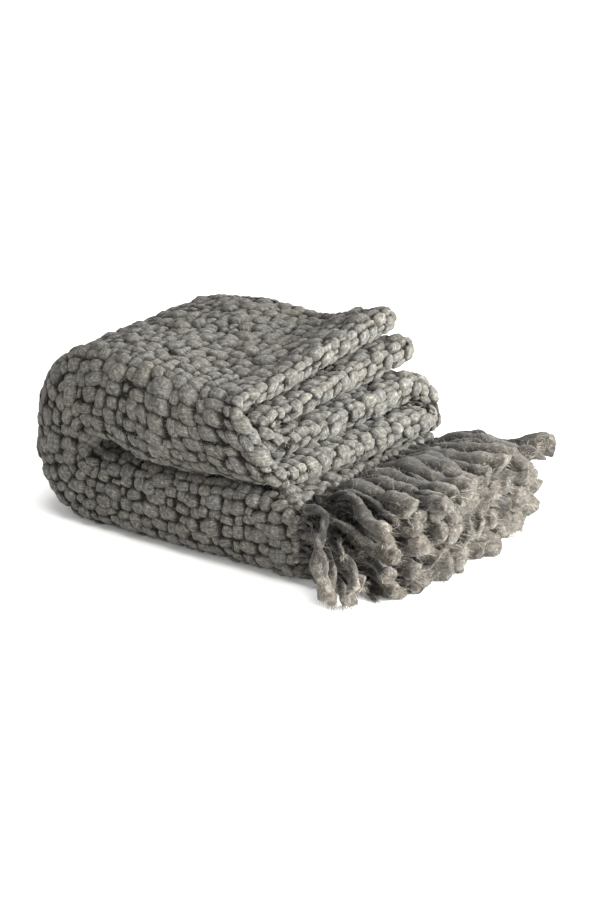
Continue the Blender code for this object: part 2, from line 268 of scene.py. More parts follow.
def rovingMaterial(name, look):
    # soft, hairy and without any gloss, so nearly all of the light is scattered
    material, tree, shader = newMaterial(name, {"Roughness": 0.95, "Specular IOR Level": 0.12,
                                                "Sheen Weight": 0.08, "Sheen Roughness": 0.6})
    yarnMap = addNode(tree, "ShaderNodeUVMap", {"uv_map": "yarn"})
    # one unit of the yarn map is 100 mm
    wisps = addNode(tree, "ShaderNodeMapping",
                    inputs={"Scale": (100 / look["fibre"], 100 / look["wispLength"], 1)},
                    links={"Vector": yarnMap.outputs[0]})
    wispNoise = addNode(tree, "ShaderNodeTexNoise", inputs={"Scale": 1.0, "Detail": 3.0, "Roughness": 0.6},
                        links={"Vector": wisps.outputs[0]})
    place, unit = yarnMap.outputs[0], 100
    if look["felted"]:
        place, unit = addNode(tree, "ShaderNodeTexCoord").outputs["Object"], 1000
    patchNoise = addNode(tree, "ShaderNodeTexNoise", inputs={"Scale": unit / look["patch"], "Detail": 2.0},
                         links={"Vector": place})
    grains = addNode(tree, "ShaderNodeTexNoise", inputs={"Scale": unit / look["grain"], "Detail": 3.0},
                     links={"Vector": place})
    blend = patchNoise.outputs["Fac"]  # then the wisps and the grain are added by their shares
    for layer, share, rest in zip((wispNoise, grains), look["shares"], (look["shares"][2], 1)):
        scaled = addNode(tree, "ShaderNodeMath", {"operation": "MULTIPLY"}, {1: rest}, {0: blend})
        blend = addNode(tree, "ShaderNodeMath", {"operation": "MULTIPLY_ADD"}, {1: share},
                        {0: layer.outputs["Fac"], 2: scaled.outputs[0]}).outputs[0]
    ramp = addNode(tree, "ShaderNodeValToRGB", links={"Fac": blend})
    for stop, (position, code) in zip((0, 1), zip(look["ramp"], (look["dark"], look["light"]))):
        ramp.color_ramp.elements[stop].position = position
        ramp.color_ramp.elements[stop].color = hexColour(code)
    middle = ramp.color_ramp.elements.new(0.5)
    middle.color = hexColour(look["middle"])
    # the attribute holds random tone times painted shade and painted light
    tone = addNode(tree, "ShaderNodeAttribute", {"attribute_name": "tone"})
    tinted = addNode(tree, "ShaderNodeMix", {"data_type": "RGBA", "blend_type": "MULTIPLY"}, {0: 1.0},
                     {6: ramp.outputs["Color"], 7: tone.outputs["Color"]})
    tree.links.new(tinted.outputs[2], shader.inputs["Base Color"])
    bump = addNode(tree, "ShaderNodeBump", inputs={"Strength": look["bump"], "Distance": look["bumpDepth"]},
                   links={"Height": blend})
    tree.links.new(bump.outputs[0], shader.inputs["Normal"])
    return material


def coreShadeMaterial():
    # painted shade: the heart of the weave between the floats, the same wool coloured as if no light reached it
    material, tree, shader = newMaterial("wool weave core", {"Roughness": 1.0, "Specular IOR Level": 0.05})
    place = addNode(tree, "ShaderNodeTexCoord")
    grain = addNode(tree, "ShaderNodeTexNoise", inputs={"Scale": 260.0, "Detail": 3.0},
                    links={"Vector": place.outputs["Object"]})
    ramp = addNode(tree, "ShaderNodeValToRGB", links={"Fac": grain.outputs["Fac"]})
    ramp.color_ramp.elements[0].color = hexColour("#12100e")
    ramp.color_ramp.elements[1].color = hexColour("#262320")
    tree.links.new(ramp.outputs["Color"], shader.inputs["Base Color"])
    return material


floatWool = rovingMaterial("carded wool roving", roving)
lockWool = rovingMaterial("loose felted roving", {
    **roving, "dark": "#201c18", "middle": "#3d3833", "light": "#6d675f", "fibre": 1.4, "wispLength": 6,
    "grain": 2.2, "patch": 7.0, "shares": (0.30, 0.36, 0.34), "bump": 0.8, "bumpDepth": 0.0016, "felted": True,
})
coreShadeWool = coreShadeMaterial()
print("stage: materials made")


# Meshes

def makePiece(name, points, faces, material, yarn=None, tone=None):
    # faces is a list of arrays; yarn holds a place on the yarn for every point, or for every face corner
    mesh = bpy.data.meshes.new(name)
    mesh.from_pydata(points.tolist(), [], [face for array in faces for face in array.tolist()])
    corners = np.empty(len(mesh.loops), dtype=int)
    mesh.loops.foreach_get("vertex_index", corners)
    if yarn is not None:
        layer = mesh.uv_layers.new(name="yarn")
        places = yarn if len(yarn) == len(corners) else yarn[corners]
        layer.data.foreach_set("uv", places.astype(np.float32).ravel())
    if tone is not None:
        layer = mesh.color_attributes.new("tone", "FLOAT_COLOR", "POINT")
        layer.data.foreach_set("color", np.c_[tone, np.ones(len(tone))].astype(np.float32).ravel())
    mesh.materials.append(material)
    mesh.shade_smooth()
    mesh.update()
    piece = bpy.data.objects.new(name, mesh)
    scene.collection.objects.link(piece)
    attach(piece, "root")
    return piece


def gridFaces(index):
    return np.stack([index[:-1, :-1], index[:-1, 1:], index[1:, 1:], index[1:, :-1]], -1).reshape(-1, 4)


def slabFaces(columns, rows):
    # a closed slab: its inner side, its outer side and its rim, as quads that face out
    index = np.arange(columns * rows).reshape(rows, columns)
    low = gridFaces(index)
    high = low[:, ::-1] + columns * rows
    around = np.concatenate([index[0, :-1], index[:-1, -1], index[-1, :0:-1], index[:0:-1, 0]])
    ahead = np.roll(around, -1)
    rim = np.stack([ahead, around, around + columns * rows, ahead + columns * rows], -1)
    return np.concatenate([low, high, rim])


ground = {
    "across": 0.011,  # metres between rows of points
    "courseSteps": (22, 40, 26, 8, 26, 40, 22),
    "coreTop": 0.0055,  # how far the core stays below the face of the cloth
}


def groundGrid(top):
    across = []
    start = 0.0
    for row in section:
        count = max(2, round(rowLength(row) / ground["across"])) * (2 if row[2] else 1)
        across += [start + rowLength(row) * n / count for n in range(count)]
        start += rowLength(row)
    across = np.array(across + [start])
    course = np.concatenate([k + np.arange(n) / n for k, n in enumerate(ground["courseSteps"])] + [[7.0]])
    grid = np.meshgrid(across, course)
    points = np.concatenate([foldPoints(*grid, height).reshape(-1, 3) for height in (inner, top)])
    return points, slabFaces(len(across), len(course))


# A thin sheet on the solid's folds, under the floats, coloured in painted shade
corePoints, coreFaces = groundGrid(outer - ground["coreTop"])
cloth = makePiece("wovenGround", corePoints, [coreFaces], coreShadeWool)
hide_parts("throw_cloth")
print("stage: ground sheet folded,", len(coreFaces) * 2, "triangles")

# Which parts of the cloth can be seen at all
fullPoints, fullFaces = groundGrid(outer)
floorCorners = [(-3, -3, 0), (3, -3, 0), (3, 3, 0), (-3, 3, 0)]
floorFace = [len(fullPoints) + k for k in range(4)]
hidingTree = BVHTree.FromPolygons([tuple(p) for p in fullPoints] + floorCorners, fullFaces.tolist() + [floorFace])


def hemisphere(count):
    # evenly spread directions about +Z, none of them flatter than 5 degrees
    rows = []
    for n in range(count):
        z = mix(0.98, 0.09, n / (count - 1))
        turn = n * math.pi * (3 - math.sqrt(5))
        rows.append((math.sqrt(1 - z * z) * math.cos(turn), math.sqrt(1 - z * z) * math.sin(turn), z))
    return rows


lookouts = hemisphere(28)


def isSeen(point, normal):
    normal = Vector(normal).normalized()
    side = normal.orthogonal().normalized()
    other = normal.cross(side)
    start = Vector(point)
    for a, b, c in lookouts:
        if hidingTree.ray_cast(start, side * a + other * b + normal * c, 0.3)[0] is None:
            return True
    return False


# The floats: in a plain weave each warp yarn shows where it crosses over a weft, and each weft between them
weave = {
    "warpGap": 0.0168,
    "weftGap": 0.0186,
    "warpShare": 0.61,  # the warp's floats are longer than the weft's between them
    "warpDrift": 0.0030,  # how far a yarn strays to each side, which makes thick and thin places
    "weftDrift": 0.0040,
    "overlap": 1.22,  # length of a float against its cell
    "fill": 1.30,  # width of a float against its cell
    "slimmest": 1.55,  # length against width of the slimmest float
    "smallest": 0.003,  # a smaller cell has no float
    "height": 0.0100,
    "proud": 0.0016,  # how far the middling floats stand above the cloth's face
    "bigProud": 0.0042,  # and how much further those of twice the size
    "weftFace": 1.02,
    "weftLow": 0.0010,  # a weft float lies lower than a warp float
    "fold": 0.0045,  # floats stand out further where the inner fold's layers press together
    "thickAndThin": 0.14,
    "uneven": 0.17,  # share by which a yarn is thicker or thinner than the next
    "sizes": 0.075,  # random share of a float's length and width
    "turn": 0.26,  # radians of random slant
    "stray": 0.0013,
    "relief": 0.0009,
    "dents": 0.07,  # share by which a float's form is dented
    "lumps": 0.0008,
    "lumpSize": 0.006,
    "paintedCreaseShade": (0.13, 0.117, 0.10),  # painted shade: brightness of the wool down between two floats
    "paintedDomeLight": 1.11,  # and painted highlight on top of them, where the light falls
    "creaseAt": 0.61,  # how high up a float the crease's painted shade ends
    "creaseRise": 0.26,
    "topShadeLift": 0.34,  # painted top light: how much of that painted shade is lifted on floats that face up
    "low": 0.5,  # painted contact shadow: brightness of the wool that turns under, next to the floor
    "floorShadeHeight": 0.018,
    "shades": 0.07,  # random share of a float's brightness
    "warmth": 0.012,
    "seed": 11,
}
floatShape = {
    "along": (-85, -54, -31, 0, 31, 54, 85),  # degrees from the middle to the ends
    "around": (-112, -72, -50, -29, 0, 29, 50, 72, 112),  # degrees from the top to the sides
    "square": 0.74,  # 1 is round, and less is more like a box
}
# Stitches and knots, as half lengths across, along and out
edge = {
    "stitch": 0.0108,
    "half": (0.0074, 0.0078, 0.0070),
    "knot": 0.009,  # where the locks start, out from the cloth
    "knotHalf": (0.0092, 0.0100, 0.0088),
    # painted shade at the sides of each stitch and knot, and painted highlight on top
    "paintedCreaseShade": (0.62, 0.60, 0.57),
    "paintedDomeLight": 1.2,
    "seed": 5,
}


def unitFloat():
    # x across the yarn, y along it, z up; flatter on top than an egg, and open below, where it is never seen
    rows = []
    for lean in np.radians(floatShape["along"]):
        ring = math.cos(lean) ** floatShape["square"]
        for turn in np.radians(floatShape["around"]):
            x, y, z = (math.copysign(abs(value) ** floatShape["square"], value)
                       for value in (math.sin(turn), math.sin(lean), math.cos(turn)))
            rows.append((x * ring, y, z * ring))
    index = np.arange(len(rows)).reshape(len(floatShape["along"]), len(floatShape["around"]))
    return np.array(rows), gridFaces(index)


floatPoints, floatFaces = unitFloat()
# painted shade down the sides of a float or bead, fading to a painted highlight on its top
highlightShare = smooth((floatPoints[:, 2:] - weave["creaseAt"]) / weave["creaseRise"])
creaseShade = mix(np.array(weave["paintedCreaseShade"]), weave["paintedDomeLight"], highlightShare)[None]
edgeShade = mix(np.array(edge["paintedCreaseShade"]), edge["paintedDomeLight"], (floatPoints[:, 2:] + 0.12).clip(0, 1))[None]


def stretchOf(distance):
    # how much longer the outer face is than the pair's middle, at a fold
    start = 0.0
    for row in section:
        start += rowLength(row)
        if distance <= start:
            return (row[3] + outer) / row[3] if row[2] else 1.0
    return 1.0


def unitRows(rows):
    return rows / np.linalg.norm(rows, axis=-1, keepdims=True)


def runningTotal(steps):
    return np.concatenate([[0], np.cumsum(steps)])


def pathLength(path):
    return runningTotal(np.linalg.norm(np.diff(path, axis=0), axis=1))


def randomWaves(count, shortest, longest):
    # two waves for each yarn, as length in metres and phase
    return [[(random.uniform(shortest, longest), random.uniform(0, 6.28)) for _ in range(2)] for _ in range(count)]


def drift(waves, where):
    return sum(np.sin(2 * math.pi * where / length + phase) for length, phase in waves) / 1.5


acrossSteps, courseSteps = 2400, 80  # fine steps over the width, and in each course
fineAcross = np.linspace(0, clothWidth, acrossSteps + 1)
faceAcross = runningTotal([stretchOf(middle) * clothWidth / acrossSteps
                           for middle in (fineAcross[:-1] + fineAcross[1:]) / 2])
fineCourse = np.linspace(0, 7, 7 * courseSteps + 1)
laneCount = round(faceAcross[-1] / weave["warpGap"])
weftCount, mostInCourse = 220, 60  # more than any lane and any course has
unevenness = np.random.default_rng(weave["seed"])
laneWidths = 1 + weave["uneven"] * unevenness.uniform(-1, 1, laneCount)
laneEdges = np.interp(runningTotal(laneWidths) / laneWidths.sum() * faceAcross[-1], faceAcross, fineAcross)
weftWidths = 1 + weave["uneven"] * unevenness.uniform(-1, 1, (7, mostInCourse))
innerStart = sum(rowLength(row) for row in section[:7])
nominalCourse = np.array([0, 0.33, 0.62, 0.92, 0.96, 1.26, 1.46, 1.79])  # metres along at each whole course
random.seed(weave["seed"])
warpWaves = randomWaves(laneCount + 1, 0.05, 0.15)
weftWaves = randomWaves(weftCount, 0.05, 0.16)
warpThickness = randomWaves(laneCount, 0.06, 0.14)
weftThickness = randomWaves(weftCount, 0.06, 0.14)


def laneCells(lane):
    # where one warp yarn's lane crosses each weft, if the place can be seen
    low, high = laneEdges[lane], laneEdges[lane + 1]
    travelled = pathLength(foldPoints((low + high) / 2, fineCourse, outer))
    stops = [0.0]
    for k in range(7):
        start, end = travelled[k * courseSteps], travelled[(k + 1) * courseSteps]
        count = max(1, round((end - start) / weave["weftGap"]))
        isLong = (lane + len(stops) - 1 + np.arange(count)) % 2 == 0
        widths = weftWidths[k, :count] * np.where(isLong, weave["warpShare"], 1 - weave["warpShare"])
        stops += list(start + (end - start) * np.cumsum(widths) / widths.sum())
    stops = np.array(stops)
    acrossFace = np.interp((low + high) / 2, fineAcross, faceAcross)
    for n in range(1, len(stops) - 1):
        room = min(stops[n + 1] - stops[n], stops[n] - stops[n - 1]) / weave["weftGap"]
        stops[n] += weave["weftDrift"] * min(1.0, room) * drift(weftWaves[n], acrossFace)
    found = []
    for n in range(len(stops) - 1):
        middle, length = (stops[n] + stops[n + 1]) / 2, stops[n + 1] - stops[n]
        course = np.interp(middle, travelled, fineCourse)
        where = np.interp(course, range(8), nominalCourse)
        narrow = (high - low) / weave["warpGap"] * weave["warpDrift"]
        nearEdge = low + narrow * drift(warpWaves[lane], where) * (lane > 0)
        farEdge = high + narrow * drift(warpWaves[lane + 1], where) * (lane + 1 < laneCount)
        centre, half = (nearEdge + farEdge) / 2, (farEdge - nearEdge) / 2
        spot = foldPoints(np.array([centre, centre, centre - half, centre + half]), course,
                          outer + np.array([0.0008, 0.0030, 0, 0]))
        breadth, normal = np.linalg.norm(spot[3] - spot[2]), spot[1] - spot[0]  # the normal is 2.2 mm long
        if min(breadth, length) < weave["smallest"] or not isSeen(spot[0], normal):
            continue
        isWarp = (lane + n) % 2 == 0
        thick = drift(warpThickness[lane], where) if isWarp else drift(weftThickness[n], acrossFace)
        found.append((centre, half, breadth, middle, length, isWarp, thick, normal[2] / 0.0022))
    return found, travelled


def laneFloats(lane, numbers):
    # every float that shows along one lane: points, places on the yarn, tone with painted shade and light, and the
    # course it is on
    found, travelled = laneCells(lane)
    if not found:
        return None
    columns = (np.array(column)[:, None] for column in zip(*found))
    centre, half, breadth, middle, length, isWarp, thick, facesUp = columns
    count = len(found)
    thick = 1 + weave["thickAndThin"] * thick + numbers.normal(0, weave["sizes"], (count, 1)).clip(-0.25, 0.25)
    face = np.where(isWarp, 1.0, weave["weftFace"])
    stretched = numbers.normal(1, weave["sizes"], (count, 1)).clip(0.75, 1.25)
    longHalf = face * weave["overlap"] / 2 * np.where(isWarp, length, breadth) * stretched
    wideHalf = face * weave["fill"] / 2 * np.where(isWarp, breadth, length) * thick
    longHalf = np.minimum(longHalf, wideHalf * weave["slimmest"])
    wideHalf = np.minimum(wideHalf, longHalf * weave["slimmest"])
    nominal = weave["overlap"] * weave["fill"] * weave["warpGap"] * weave["weftGap"]
    size = (2 * np.sqrt(longHalf * wideHalf / nominal)).clip(0.45, 1.6)
    x, y, z = (floatPoints[None, :, k] for k in range(3))
    dents = np.sin(3.1 * x + numbers.uniform(0, 6, (count, 1))) * np.sin(2.7 * y + numbers.uniform(0, 6, (count, 1)))
    lump = 1 + weave["dents"] * dents
    wide, long = x * wideHalf * lump, y * longHalf * lump
    turn = numbers.normal(0, weave["turn"], (count, 1)).clip(-0.6, 0.6)
    slantWide, slantLong = wide * np.cos(turn) - long * np.sin(turn), long * np.cos(turn) + wide * np.sin(turn)
    across = np.where(isWarp, slantWide, -slantLong) + numbers.normal(0, weave["stray"], (count, 1))
    along = np.where(isWarp, slantLong, slantWide) + numbers.normal(0, weave["stray"], (count, 1))
    tall = weave["height"] * size ** 0.8
    proud = (weave["proud"] + weave["bigProud"] * (size - 1) - weave["weftLow"] * (1 - isWarp)
             + numbers.normal(0, weave["relief"], (count, 1)))
    cornering = np.clip((centre - innerStart) / rowLength(section[7]), 0, 1)
    proud = proud + weave["fold"] * np.sin(2 * math.pi * cornering) ** 2
    yarn = np.stack([wide, long], -1) * 10 + numbers.uniform(0, 20, (count, 1, 2))
    upYarn = z[..., None] * 0.004 * np.ones(yarn.shape[:2] + (1,))
    uneven = weave["lumps"] * cloudNoise(np.concatenate([yarn / 10, upYarn], -1), weave["lumpSize"])
    height = outer + proud + uneven - tall * (1 - z * lump)
    course = np.interp(middle + along, travelled, fineCourse)
    points = foldPoints(centre + across * half * 2 / breadth, course, height)
    points[..., 2] = np.maximum(points[..., 2], 0.0004)
    shade = numbers.normal(1.0, weave["shades"], (count, 1, 1)).clip(0.8, 1.2)
    warm = numbers.normal(0, weave["warmth"], (count, 1, 1))
    tone = shade * np.concatenate([1 + warm, np.ones_like(warm), 1 - warm * 1.4], -1)
    # painted top light: on floats that face up, the creases' painted shade is lifted
    topShadeLift = weave["topShadeLift"] * smooth((facesUp - 0.7) / 0.28)[..., None]
    # painted contact shadow on the wool near the floor
    low = mix(weave["low"], 1.0, smooth(points[..., 2:] / weave["floorShadeHeight"]))
    tone = tone * mix(creaseShade, weave["paintedDomeLight"], topShadeLift) * low
    return points, yarn, tone, np.interp(middle[:, 0], travelled, fineCourse)


def floatFacesFor(count):
    return (floatFaces[None] + np.arange(count)[:, None, None] * len(floatPoints)).reshape(-1, 4)


def placeFloats():
    numbers = np.random.default_rng(weave["seed"])
    groups = {"floatsLower": [], "floatsLoop": [], "floatsUpper": [], "floatsEnds": []}
    for lane in range(laneCount):
        made = laneFloats(lane, numbers)
        if made is None:
            continue
        points, yarn, tone, course = made
        kinds = np.select([course < 1, course < 2, course < 3], [0, 1, 2], 3)
        for kind, name in enumerate(groups):
            chosen = kinds == kind
            if chosen.any():
                groups[name].append((points[chosen], yarn[chosen], tone[chosen]))
    made = []
    for name, parts in groups.items():
        points, yarn, tone = (np.concatenate(column).reshape(-1, size)
                              for column, size in zip(zip(*parts), (3, 2, 3)))
        count = len(points) // len(floatPoints)
        faces = floatFacesFor(count)
        made.append(makePiece(name, points, [faces], floatWool, yarn, tone))
        print("stage:", name, count, "floats,", len(faces) * 2, "triangles")
    return made


floats = placeFloats()


# The fringe's course, with the sizes of the solids: it fans down at the spine and up at the back
fringe = {
    "gap": 0.0004,
    "depth": 0.007,  # of the strip along the cloth's end
    "length": 0.166,
    "lowRow": 0.84,  # the lowest locks are shorter
    "frontFan": 73.0,  # degrees
    "frontReach": 0.026,
    "backFan": 26.0,
    "backReach": 0.06,
    "frontSplay": 0.030,
    "backSplay": 0.026,
    "frontShort": 0.28,
    "lift": 0.10,
    "seed": 7,
}
fringeCells = (
    # each stretch of the section: cells, outer locks, inner locks; 1 for every cell, 2 for every second one
    (11, 1, 1), (3, 2, 0), (2, 1, 1), (3, 2, 0), (10, 1, 1), (5, 2, 0), (9, 1, 1), (5, 0, 2), (10, 1, 1),
)


def fringeLocks(column):
    # start and end along the width, length and sway of each lock, as in the solids
    random.seed(fringe["seed"] + column + 1)
    rows, start = [], 0.0
    for stretch, counts in zip(section, fringeCells):
        width = rowLength(stretch) / counts[0]
        for n in range(counts[0]):
            share, sway = random.uniform(0.86, 1.04), random.uniform(-0.002, 0.002)
            if counts[column] == 1 or (counts[column] == 2 and n % 2 == 1):
                rows.append((start + (n + 0.5) * width, share, sway))
        start += rowLength(stretch)
    return rows


# Rounded stitches along the woven edges and the fringed ends

def placeBeads(name, centres, across, along, out, sizes, numbers):
    # one float for each centre, on its own three directions, with sizes as half lengths
    x, y, z = (floatPoints[None, :, k, None] for k in range(3))
    a, b, c = (sizes[:, k, None, None] for k in range(3))
    points = centres[:, None] + across[:, None] * x * a + along[:, None] * y * b + out[:, None] * z * c
    points[..., 2] = np.maximum(points[..., 2], 0.0004)
    count = len(centres)
    yarn = np.stack(np.broadcast_arrays(x * a, y * b), -1)[:, :, 0] * 10 + numbers.uniform(0, 20, (count, 1, 2))
    # random tone times the painted shade and highlight of edgeShade
    tone = numbers.normal(1.0, weave["shades"], (count, 1, 1)).clip(0.8, 1.2) * edgeShade * np.ones(points.shape)
    return makePiece(name, points.reshape(-1, 3), [floatFacesFor(count)], floatWool,
                     yarn.reshape(-1, 2), tone.reshape(-1, 3))


def placeSelvedge():
    numbers = np.random.default_rng(edge["seed"])
    fine = np.linspace(0, 7, 1401)
    rows = []
    for distance, side in ((0.0, -1), (clothWidth, 1)):
        travelled = pathLength(foldPoints(distance, fine, halfPitch))
        stops = np.arange(0.004, travelled[-1], edge["stitch"])
        stops = stops + numbers.normal(0, 0.001, len(stops))
        course = np.interp(stops, travelled, fine)
        centre = foldPoints(distance - side * 0.0015, course, halfPitch)
        out = unitRows(foldPoints(distance + side * 0.001, course, halfPitch) - centre)
        along = (foldPoints(distance, np.minimum(course + 0.004, 7), halfPitch)
                 - foldPoints(distance, np.maximum(course - 0.004, 0), halfPitch))
        along = unitRows(along - out * (along * out).sum(-1, keepdims=True))
        rows.append((centre, np.cross(along, out), along, out))
    centre, across, along, out = (np.concatenate(column) for column in zip(*rows))
    sizes = np.array(edge["half"]) * numbers.normal(1, 0.1, (len(centre), 3))
    return placeBeads("selvedgeStitches", centre, across, along, out, sizes, numbers)


def rootPoints(distance, fromMiddle):
    # y and z where a yarn leaves the fringed end of the cloth
    y, height, out = (np.interp(distance, walked[0], walked[k]) for k in (1, 2, 3))
    return y + fromMiddle * np.cos(out), stripHeight - height - fromMiddle * np.sin(out)


def endRow(stops, fromMiddle, outBy, uneven, numbers):
    # middles and sideways directions of what sits along the fringed end
    stops = stops + numbers.normal(0, 0.0015, len(stops))
    y, z = rootPoints(stops, fromMiddle)
    nextY, nextZ = rootPoints(stops + 0.001, fromMiddle)
    x = fringedEnd(y) + outBy + numbers.normal(0, uneven, len(stops))
    across = unitRows(np.stack([np.zeros(len(stops)), nextY - y, nextZ - z], -1))
    return np.stack([x, y, z], -1), across


def placeEndStitches():
    numbers = np.random.default_rng(edge["seed"] + 1)
    rows = []
    for fromMiddle in (halfPitch, -halfPitch):
        stops = np.arange(0.005, clothWidth, edge["stitch"])
        centre, across = endRow(stops, fromMiddle, -0.002, 0.002, numbers)
        out = np.tile([1.0, 0.0, 0.0], (len(stops), 1))
        rows.append((centre, across, np.cross(out, across), out))
    stitchCount = sum(len(row[0]) for row in rows)
    for column, fromMiddle in ((1, halfPitch), (2, -halfPitch)):
        stops = np.array([row[0] for row in fringeLocks(column)])
        centre, across = endRow(stops, fromMiddle, edge["knot"], 0.003, numbers)
        along = np.tile([-1.0, 0.0, 0.0], (len(stops), 1))
        rows.append((centre, across, along, np.cross(along, across)))
    centre, across, along, out = (np.concatenate(column) for column in zip(*rows))
    isKnot = np.arange(len(centre))[:, None] >= stitchCount
    sizes = np.where(isKnot, edge["knotHalf"], edge["half"]) * numbers.normal(1, 0.12, (len(centre), 3))
    return placeBeads("endStitches", centre, across, along, out, sizes, numbers)


selvedge = placeSelvedge()
endStitches = placeEndStitches()
print("stage: edges stitched")


# Loose fibres: fine hairs that stand off the yarn, and torn wisps at the tips of the locks
hairs = {
    "cloth": {
        "count": 4500, "length": 0.009, "width": 0.00042, "lift": (0.05, 0.7), "curl": 0.5,
        "bends": (0.0, 0.5),  # places along a hair that have a pair of points
        "more": {"floatsUpper": 3.4, "floatsEnds": 2.0},  # rubbed up where the throw is handled
        "seed": 21,
    },
    "fringe": {
        "count": 14000, "length": 0.011, "width": 0.00042, "lift": (0.05, 0.9), "curl": 0.8,
        "bends": (0.0, 0.35, 0.7), "more": {}, "seed": 31,
    },
    "colour": "#716e66",
    "fringeColour": "#6b665e",
}


def hairMaterial(name, code):
    # single wool fibres, thin enough to look paler than the yarn
    return newMaterial(name, {"Base Color": hexColour(code), "Roughness": 0.85, "Specular IOR Level": 0.15})[0]


clothHair = hairMaterial("loose wool fibre", hairs["colour"])
lockHair = hairMaterial("loose fringe fibre", hairs["fringeColour"])


def makeRibbons(name, points, material):
    # pairs of points along each ribbon and one point at its tip
    size = points.shape[1]
    first = np.arange(len(points))[:, None, None] * size
    quads = (np.array([[k, k + 1, k + 3, k + 2] for k in range(0, size - 3, 2)])[None] + first).reshape(-1, 4)
    tips = (np.array([[size - 3, size - 2, size - 1]])[None] + first).reshape(-1, 3)
    print("stage:", name, len(points), "ribbons,", len(quads) * 2 + len(tips), "triangles")
    return makePiece(name, points.reshape(-1, 3), [quads, tips], material)


# The locks: the same roving, twisted where they leave the weave and felted loose at the tips
lock = {
    "rings": 48,
    "endRings": 5,
    "sides": 12,
    "rootIn": 0.075,  # share of the length that is in the knot and the cloth
    "rootRadius": 0.0048,
    "width": 0.0280,
    "thick": 0.0215,
    "opens": (0.22, 0.66),  # share of the length where the twisted yarn has opened out
    "frontOpens": 0.75,  # the ones hanging at the spine stay twisted for longer
    "wave": 0.0070,
    "lumps": 0.10,
    "plies": (0.36, 0.14),  # how deep the twist cuts in, twisted and opened
    "twist": (37.0, 9.0),  # radians along a lock, twisted and opened
    "felt": 0.0004,  # metres of small unevenness
    "clumps": 0.0022,  # and of larger lumps
    "clumpSizes": (0.012, 0.006),
    "ripples": 0.05,
    "slant": 0.45,  # of the cut ends, against their radius
    "frontSize": 0.84,
    "hangReach": 0.055,
    "endShare": 0.024,  # of the length, where the blunt tip closes
    "thinShare": 0.75,  # of the locks have a thin strand beside them
    "thinSize": 0.42,
    "thinAside": (0.008, 0.014),
    "thinReach": (0.55, 0.95),
    "wisps": 46,  # ribbons in a torn tuft
    "wispWidth": (0.0004, 0.0009),
    "wispReach": (0.004, 0.011),
    "hangShade": 1.48,  # painted light: the hanging ones lie open to the light, so they are coloured brighter
    "between": 0.27,  # painted shade: brightness down between two locks, where they lie against each other
    "shades": (0.70, 1.30),  # of the wool from root to tip
    "uneven": 0.06,  # random share of a lock's brightness
}
closing = np.sin(np.linspace(0, math.pi / 2, lock["endRings"] + 1)[1:])
lockStops = np.concatenate([np.linspace(0, 1 - lock["endShare"], lock["rings"]),
                            1 - lock["endShare"] * (1 - closing)])


def fringeFlow(y, z, share):
    # a point on the cloth's end, carried this share of a lock's length outwards
    nearFront = np.exp(-np.maximum(0, y - wallY) / fringe["frontReach"])
    nearBack = np.exp(-np.maximum(0, back - y) / fringe["backReach"])
    grown = np.maximum(share, 0) ** 1.3
    fallen = np.radians(fringe["frontFan"] * nearFront - fringe["backFan"] * nearBack) * grown
    reach = fringe["length"] * share * (1 - fringe["frontShort"] * nearFront * np.maximum(share, 0))
    x = fringedEnd(y) + fringe["gap"] + fringe["depth"] + reach
    risen = z * (1 + fringe["lift"] * smooth(share / 0.3))
    moved = y + (fringe["backSplay"] * nearBack - fringe["frontSplay"] * nearFront) * grown - risen * np.sin(fallen)
    return np.stack(np.broadcast_arrays(x, moved, risen * np.cos(fallen)), -1)


def growWisps(middle, across, outward, ahead, width, numbers):
    # a torn tuft at the tip: thin tapering ribbons that run on from the lock and spread
    count = lock["wisps"]
    turn, share = numbers.uniform(0, 2 * math.pi, (count, 1)), np.sqrt(numbers.uniform(0, 1, (count, 1)))
    sideways = across[-1] * np.cos(turn) + outward[-1] * np.sin(turn)
    start = middle[-4] + sideways * share * width * 0.9
    heading = unitRows(ahead[-4] + sideways * share * 0.55 + numbers.normal(0, 0.16, (count, 3)))
    bend = numbers.normal(0, 0.35, (count, 3))
    side = unitRows(np.cross(heading, numbers.normal(0, 1, (count, 3))))
    side = side * numbers.uniform(*lock["wispWidth"], (count, 1)) / 2
    length = numbers.uniform(*lock["wispReach"], (count, 1))
    rows = []
    for along, taper in ((0.0, 1.0), (0.45, 0.9), (0.8, 0.55)):
        spine = start + (heading * along + bend * along * along) * length
        rows += [spine - side * taper, spine + side * taper]
    rows.append(start + (heading + bend) * length)
    points = np.stack(rows, 1)
    points[..., 2] = np.maximum(points[..., 2], 0.0006)
    return points


def lockWays(middle, across, along):
    # directions along a lock, across it and outwards
    ahead = unitRows(np.gradient(middle, along, axis=0))
    across = unitRows(across - ahead * (across * ahead).sum(-1, keepdims=True))
    return ahead, across, np.cross(ahead, across)


